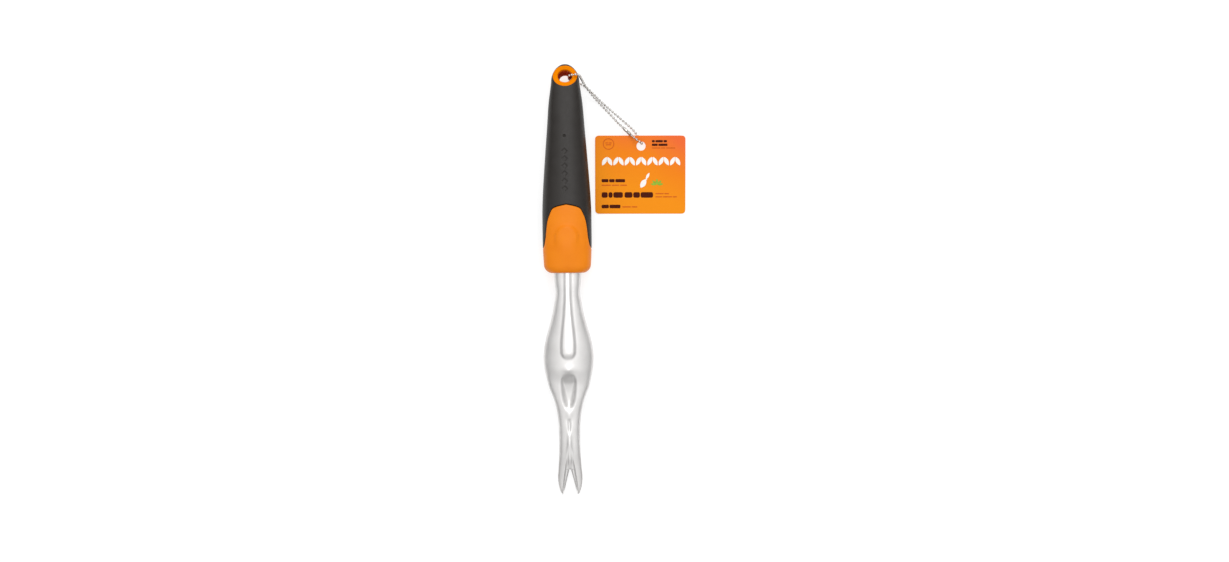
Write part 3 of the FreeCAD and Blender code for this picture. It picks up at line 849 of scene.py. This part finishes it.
def skin_height(x, y, front):
    """Height of the handle's front or back skin over (x, y)."""
    t = (y - MOUTH_Y) / HANDLE_LENGTH
    into_cap = np.clip((y - (BUTT_Y - BUTT_CAP)) / CAP_REACH, 0, 0.999)
    half = along(HANDLE_HALF_WIDTH, t) * np.sqrt(1 - into_cap**2)
    squeeze = (1 - into_cap**6) ** (1 / 6)
    power = along(HANDLE_POWER, t)
    rise = (1 - np.clip(np.abs(x) / half, 0, 0.995) ** power) ** (1 / power)
    reach = along(HANDLE_FRONT, t) - AXIS_HEIGHT if front else along(HANDLE_BACK, t) - AXIS_HEIGHT
    return AXIS_HEIGHT + reach * squeeze * rise


RIM_ROUNDING = 0.45               # of the flange's rim, which rises from its foot, under the skin
RIM_FOOT = 0.20
RIM_RISE = 0.36
LAND_BELOW = 0.10                 # the flange inside its rim, under the skin


def hang_eyelet(finish):
    """Orange lining of the hang hole: flanges that follow both skins, trumpet mouths and an oval bore."""
    columns = 200
    angle = np.linspace(0, 2 * math.pi, columns, endpoint=False)
    circle = np.stack([np.cos(angle), np.sin(angle)], axis=-1)

    def row(half, front, below, lean=0.0):
        x = half[0] * circle[:, 0] + lean * BORE_LEAN[0]
        y = EYE_Y + half[1] * circle[:, 1] + lean * BORE_LEAN[1]
        z = skin_height(x, y, front) + (-below if front else below)
        return np.stack([x, y, z], axis=-1)

    def mouth_rows(front, bore_half):
        rows = [row(FLANGE_HALF - 0.05, front, 1.2), row(FLANGE_HALF, front, 0.3)]
        for a in np.radians([30, 60, 90, 120, 150]):
            half = FLANGE_HALF - RIM_ROUNDING * (1 - math.cos(a))
            rows.append(row(half, front, RIM_FOOT - RIM_RISE * math.sin(a)))
        land, lip = FLANGE_HALF - 0.95, bore_half + MOUTH_RADIUS
        for share in np.linspace(0, 1, 12):
            half = land + (lip - land) * share
            rows.append(row(half, front, LAND_BELOW + DISH_DEPTH * share**1.5, 0.0 if front else share))
        for a in np.radians(np.linspace(0, 90, 10))[1:]:
            half = bore_half + MOUTH_RADIUS * (1 - math.sin(a))
            below = LAND_BELOW + DISH_DEPTH + MOUTH_RADIUS * (1 - math.cos(a))
            rows.append(row(half, front, below, 0.0 if front else 1.0))
        return rows

    front_rows, back_rows = mouth_rows(True, BORE_HALF), mouth_rows(False, BORE_HALF * BORE_BACK_SHARE)
    bore = [front_rows[-1] + (back_rows[-1] - front_rows[-1]) * s for s in np.linspace(0, 1, 22)[1:-1]]
    outside = [back_rows[0] + (front_rows[0] - back_rows[0]) * s for s in np.linspace(0, 1, 10)[1:-1]]
    rows = np.array(front_rows + bore + back_rows[::-1] + outside)
    faces = grid_faces(len(rows), columns, wrap_rows=True, wrap_columns=True)
    mesh = make_mesh("hang_eyelet", rows, [faces])
    return make_piece("hang_eyelet", mesh, finish)


# ---- the head ------------------------------------------------------------------------------------

def notch_edge(y):
    """Distance of the notch's wall from the middle line: an arc at the root, then a straight flank."""
    apex = TIP_Y + NOTCH_DEPTH
    centre = apex - NOTCH_ROOT_RADIUS
    touch_x = NOTCH_ROOT_RADIUS * math.cos(NOTCH_HALF_ANGLE)
    touch_y = centre + NOTCH_ROOT_RADIUS * math.sin(NOTCH_HALF_ANGLE)
    arc = np.sqrt(np.clip(NOTCH_ROOT_RADIUS**2 - (y - centre) ** 2, 0, None))
    flank = touch_x + (touch_y - y) * math.tan(NOTCH_HALF_ANGLE)
    return np.where(y > apex, 0.0, np.where(y > touch_y, arc, flank))


def front_relief(x, t, inner, half):
    """Height added to the head's front: a dome with a crowned rib and a crest, then the scoop and its tail,
    the shank's roof and ridge, and the fork's bevels, which step down at a crease and fall away to the notch.
    Crest, tail and ridge are bell curves, exp(-r^2)."""
    across = np.clip(np.abs(x) / half, 0, 1)
    rib, rib_half = along(RIB_HEIGHT, t), along(RIB_HALF_WIDTH, t)
    crown = 1 - 0.35 * np.clip(np.abs(x) / rib_half, 0, 1) ** 2
    height = along(DOME_HEIGHT, t) * (1 - across**2) ** 2
    height -= along(ROOF_FALL, t) * (np.hypot(across, ROOF_ROUNDING) - ROOF_ROUNDING)
    height += rib * plateau(x, rib_half, RIB_SIDE) * crown
    crest_across, crest_along, crest_height = CREST_SIZE
    height += crest_height * np.exp(-(x / crest_across) ** 2
                                    - ((t - CREST_PLACE) * HEAD_LENGTH / crest_along) ** 2)
    rounded = np.hypot(x, 0.7)
    height -= along(SCOOP_DEPTH, t) * plateau(rounded, along(SCOOP_HALF_WIDTH, t), along(SCOOP_SIDE, t))
    height -= along(TAIL_DEPTH, t) * np.exp(-(x / (0.6 * along(TAIL_HALF_WIDTH, t))) ** 2)
    height += along(SHANK_RIDGE, t) * np.exp(-(x / along(RIDGE_HALF_WIDTH, t)) ** 2)
    crease = along(BEVEL_HALF_WIDTH, t)
    into = np.clip((crease - np.abs(x)) / np.maximum(crease - inner, 0.2), 0, 1)
    height -= along(BEVEL_STEP, t) * plateau(x, crease - BEVEL_SIDE / 2, BEVEL_SIDE)
    height -= along(BEVEL_DEPTH, t) * into
    past_root = np.maximum((1 - t) * HEAD_LENGTH - NOTCH_DEPTH, 0)
    gap = np.hypot(np.maximum(np.abs(x) - inner, 0), past_root)
    return height - NOTCH_CHAMFER[1] * np.clip(1 - gap / NOTCH_CHAMFER[0], 0, 1)


def weeder_casting(finish):
    """Cast head: half sections from the front's middle, round the side, to the back's middle; below the
    notch's root each half closes along the notch's wall instead. The other half is its mirror image."""
    apex = TIP_Y + NOTCH_DEPTH
    root = MOUTH_Y + NECK_ROOT
    neck_rows = np.linspace(root, MOUTH_Y - 0.02 * HEAD_LENGTH, 26)
    body_rows = np.linspace(MOUTH_Y - 0.02 * HEAD_LENGTH, apex, 236)[1:]
    arc_rows = apex - NOTCH_ROOT_RADIUS * (1 - np.cos(np.radians(np.linspace(0, 76, 10))[1:]))
    fork_rows = np.linspace(arc_rows[-1], TIP_Y + TIP_ROUNDING, 44)[1:]
    tip_rows = TIP_Y + TIP_ROUNDING * (1 - np.sin(np.radians(np.linspace(0, 90, 9))[1:]))
    ys = np.concatenate([neck_rows, body_rows, arc_rows, fork_rows, tip_rows])
    above = len(neck_rows) + len(body_rows)

    t = ((MOUTH_Y - ys) / HEAD_LENGTH)[:, None]
    inner = notch_edge(ys)[:, None]
    half, power = along(HEAD_HALF_WIDTH, t), along(HEAD_POWER, t)
    edge = along(HEAD_EDGE, t)
    front_count, back_count, wall_count = 92, 44, 8
    widest = np.arccos(np.clip(inner / half, 0, 1) ** (power / 2))
    sweep = np.concatenate([np.linspace(1, 0, front_count + 1), -np.linspace(0, 1, back_count + 1)[1:]])
    angle = widest * sweep[None, :]
    x = half * np.abs(np.cos(angle)) ** (2 / power)
    rise = signed_power(np.sin(angle), 2 / power)
    front, back = along(HEAD_FRONT, t) - edge, edge - along(HEAD_BACK, t)
    fade = smooth_step(rise / 0.55)
    z = edge + rise * np.where(rise > 0, front, back) + fade * front_relief(x, t, inner, half)
    section = np.stack([x, np.broadcast_to(ys[:, None], x.shape), z], axis=-1)

    share = np.linspace(0, 1, wall_count + 2)[1:-1][None, :, None]
    wall = section[:, -1:] + (section[:, :1] - section[:, -1:]) * share
    rings = np.concatenate([section, wall], axis=1)
    squeeze = np.sqrt(np.clip(1 - np.clip((TIP_Y + TIP_ROUNDING - ys) / TIP_ROUNDING, 0, 1) ** 2, 0, 1))
    middle = rings.mean(axis=1, keepdims=True)
    from_middle = (rings - middle)[..., 0:3:2] * squeeze[:, None, None]
    rings[..., 0:3:2] = middle[..., 0:3:2] + from_middle

    rows, columns = rings.shape[:2]
    outside = columns - wall_count
    faces = grid_faces(rows, columns, wrap_columns=True)
    cell_row, cell_column = faces[:, 0] // columns, faces[:, 0] % columns
    faces = faces[(cell_column < outside - 1) | (cell_row >= above - 1)]
    root_cap = fan(np.arange(outside), rows * columns)[:-1]
    points = np.concatenate([rings.reshape(-1, 3), [[0.0, root, AXIS_HEIGHT]]])
    mirrored = points * [-1, 1, 1]
    count = len(points)
    every = np.concatenate([points, mirrored])
    quads = np.concatenate([faces, faces[:, ::-1] + count])
    tris = np.concatenate([root_cap[:, ::-1], root_cap + count])
    mesh = merge_doubles(make_mesh("weeder_casting", every, [quads, tris]))
    return make_piece("weeder_casting", mesh, finish, replaces=("weeder_head",))


# ---- the tag -------------------------------------------------------------------------------------

REST_GAP = 0.05                   # under the card's lower edge
CARD_TILT = math.asin((HINGE[2] - REST_GAP - CARD_THICKNESS / 2) / (CARD_HEIGHT - CARD_RIM / 2))
CARD_CENTRE_X = (tag_low[0] + tag_high[0]) / 2
CARD_TURN = 0.011                 # the card lies turned by this much, clockwise
HOLE_PLACE = np.array([0.6, CARD_HEIGHT / 2 - CARD_RIM - CARD_HOLE_RADIUS])


def on_card(points):
    """Takes card points (right, up and out from its middle) to the tool's axes, tilted about the hinge."""
    points = np.asarray(points, float)
    x = points[..., 0] + CARD_CENTRE_X + CARD_TURN * points[..., 1]
    up = points[..., 1] - CARD_TURN * points[..., 0] + CARD_HEIGHT / 2 - (CARD_HEIGHT - CARD_RIM / 2)
    out = points[..., 2]
    y = HINGE[1] + up * math.cos(CARD_TILT) - out * math.sin(CARD_TILT)
    z = HINGE[2] + up * math.sin(CARD_TILT) + out * math.cos(CARD_TILT)
    return np.stack([x, y, z], axis=-1)


def rounded_outline(angle):
    """Point of the card's outline in each direction from the hole, by walking out to the nearest side."""
    way = np.stack([np.cos(angle), np.sin(angle)], axis=-1)
    side = np.array([CARD_WIDTH, CARD_HEIGHT]) / 2
    room = np.where(way > 0, side - HOLE_PLACE, side + HOLE_PLACE)
    reach = np.min(room / np.maximum(np.abs(way), 1e-9), axis=1)
    for _ in range(24):
        point = HOLE_PLACE + way * reach[:, None]
        past = np.maximum(np.abs(point) - (side - CARD_CORNER), 0)
        distance = np.hypot(past[:, 0], past[:, 1]) - CARD_CORNER
        reach = reach - np.where(distance > 0, distance * 0.7, 0)
    return HOLE_PLACE + way * reach[:, None]


def tag_card(finish):
    """Punched card: rings from the hole's edge out to the rounded outline, with slightly soft edges."""
    columns = 288
    angle = np.linspace(0, 2 * math.pi, columns, endpoint=False)
    outline = rounded_outline(angle)
    hole = HOLE_PLACE + CARD_HOLE_RADIUS * np.stack([np.cos(angle), np.sin(angle)], axis=-1)
    half = CARD_THICKNESS / 2
    shares = np.concatenate([np.linspace(0, 0.04, 5), np.linspace(0.1, 0.92, 14), [0.97, 0.99, 1.0]])
    edge = 0.10

    def face_rows(side):
        rows = []
        for s in shares:
            flat = hole + (outline - hole) * s
            length = np.linalg.norm(outline - hole, axis=1)
            from_rim = np.minimum(s * length, (1 - s) * length)
            soft = edge * (1 - np.sqrt(1 - np.clip(1 - from_rim / edge, 0, 1) ** 2))
            rows.append(np.c_[flat, side * (half - soft)])
        return rows

    rows = np.array(face_rows(1) + face_rows(-1)[::-1])
    faces = grid_faces(len(rows), columns, wrap_rows=True, wrap_columns=True)
    mesh = make_mesh("tag_card", on_card(rows), [faces])
    mesh.set_sharp_from_angle(angle=math.radians(40))
    return make_piece("tag_card", mesh, finish, body="tag", replaces=("hang_tag",))


def bar(left, low, width, height, corner=0.18):
    """Outline of a bar with rounded corners."""
    corner = min(corner, width / 2, height / 2)
    near, far = (left + corner, low + corner), (left + width - corner, low + height - corner)
    points = []
    for turn, (cx, cy) in enumerate([far, (near[0], far[1]), near, (far[0], near[1])]):
        for a in np.radians(np.linspace(90 * turn, 90 * turn + 90, 4)):
            points.append((cx + corner * math.cos(a), cy + corner * math.sin(a)))
    return np.array(points)


def leaf(x, y, length, width, turn):
    """Pointed oval: half width is the sine of the way along it, to the power 0.8."""
    s = np.linspace(0, 1, 15)
    side = 0.5 * width * np.sin(math.pi * s) ** 0.8
    lengthwise = (s - 0.5) * length
    outline = np.concatenate([np.c_[lengthwise, side], np.c_[lengthwise, -side][-2:0:-1]])
    c, k = math.cos(math.radians(turn)), math.sin(math.radians(turn))
    return outline @ np.array([[c, k], [-k, c]]) + [x, y]


def band(x, y, radius, width, start, end):
    """Part of a ring between two angles in degrees."""
    a = np.radians(np.linspace(start, end, 30))
    outer = np.c_[np.cos(a), np.sin(a)] * (radius + width / 2)
    inner = np.c_[np.cos(a), np.sin(a)][::-1] * (radius - width / 2)
    return np.concatenate([outer, inner]) + [x, y]


def printed(name, outlines, ink):
    """Thin closed plates of ink, one for each outline, proud of the card and stepped where they cross."""
    vertices, faces = [], []
    sunk = CARD_THICKNESS / 2 - 0.06
    for index, outline in enumerate(outlines):
        top = CARD_THICKNESS / 2 + 0.04 + 0.004 * (index % 5)
        start, n = len(vertices), len(outline)
        if 0 > np.cross(outline, np.roll(outline, -1, axis=0)).sum():
            outline = outline[::-1]
        for z in (top, sunk):
            vertices += [tuple(p) for p in on_card(np.c_[outline, np.full(n, z)]) * MM]
        faces.append(list(range(start, start + n)))
        faces.append(list(range(start + 2 * n - 1, start + n - 1, -1)))
        for i in range(n):
            j = (i + 1) % n
            faces.append([start + j, start + i, start + n + i, start + n + j])
    mesh = bpy.data.meshes.new(name)
    mesh.from_pydata(vertices, [], faces)
    mesh.validate()
    return make_piece(name, mesh, ink, body="tag")


def words(left, low, height, widths, gap):
    """A line of plain bars in place of words."""
    outlines = []
    for width in widths:
        outlines.append(bar(left, low, width, height, corner=height * 0.3))
        left += width + gap
    return outlines


def tag_print():
    """Everything printed on the card: a row of leaf pairs, plain bars, a roundel, a trowel and a sprout."""
    white = printing_ink("white_ink", (0.82, 0.80, 0.77), (0.88, 0.86, 0.83))
    brown = printing_ink("brown_ink", (0.055, 0.008, 0.003), (0.075, 0.011, 0.004))
    rust = printing_ink("rust_ink", (0.55, 0.10, 0.010), (0.62, 0.13, 0.014))
    green = printing_ink("green_ink", (0.20, 0.36, 0.03), (0.30, 0.46, 0.05))
    left, right = -29.3, 30.6
    row = []
    for i in range(7):
        x = left + 4.2 + i * (right - left - 8.4) / 6
        row += [leaf(x - 2.0, 10.2, 7.2, 3.0, 62), leaf(x + 2.0, 10.2, 7.2, 3.0, 118)]
    printed("white_leaf_row", row, white)
    printed("brown_lines", words(8.8, 24.4, 1.7, (2.2, 5.6, 2.6), 0.5)
            + words(8.8, 21.7, 1.7, (4.4, 6.9), 0.5)
            + words(left, -5.7, 2.4, (5.2, 4.2, 7.4), 0.5) + words(left, -17.4, 4.2, (4.6, 3.1, 7.2), 0.6)
            + words(left + 17.4, -17.4, 4.2, (6.0, 5.0, 9.4), 0.6)
            + words(left, -25.4, 2.7, (5.5, 8.3), 0.5), brown)
    printed("rust_lines", words(8.8, 19.7, 0.9, (6.4, 3.2, 6.8), 0.6)
            + words(left, -8.4, 0.9, (7.0, 5.6, 5.2), 0.7)
            + words(11.5, -14.8, 0.9, (6.2, 3.4), 0.6) + words(11.5, -17.2, 0.9, (5.0, 7.0, 3.0), 0.6)
            + words(left + 15.6, -24.8, 0.9, (6.5, 4.4), 0.6)
            + [band(-24.0, 23.2, 4.0, 0.7, 0, 359)] + words(-26.4, 23.6, 0.8, (2.0, 2.4), 0.4)
            + words(-26.0, 22.2, 0.8, (4.0,), 0.4), rust)
    trowel = [leaf(2.3, -6.6, 7.6, 4.0, 58), bar(4.1, -3.9, 1.0, 1.0), leaf(5.6, -1.0, 5.4, 1.9, 62)]
    printed("white_trowel", trowel, white)
    sprout = []
    for turn in (8, 45, 90, 135, 172):
        a = math.radians(turn)
        sprout.append(leaf(12.6 + 2.6 * math.cos(a), -7.6 + 2.3 * math.sin(a), 4.4, 1.7, turn))
    printed("green_sprout", sprout, green)


# ---- the whole scene -----------------------------------------------------------------------------

set_the_stage()
plate = nickel_plate()
bead_chain(smooth_route(CHAIN_ROUTE), plate, chain_clasp(plate))
collar(moulded_orange("moulded_orange", ior=1.30))
hang_eyelet(lining_orange_painted_shade())
grip(soft_touch_black())
weeder_casting(tumbled_aluminium())
tag_card(varnished_card())
tag_print()
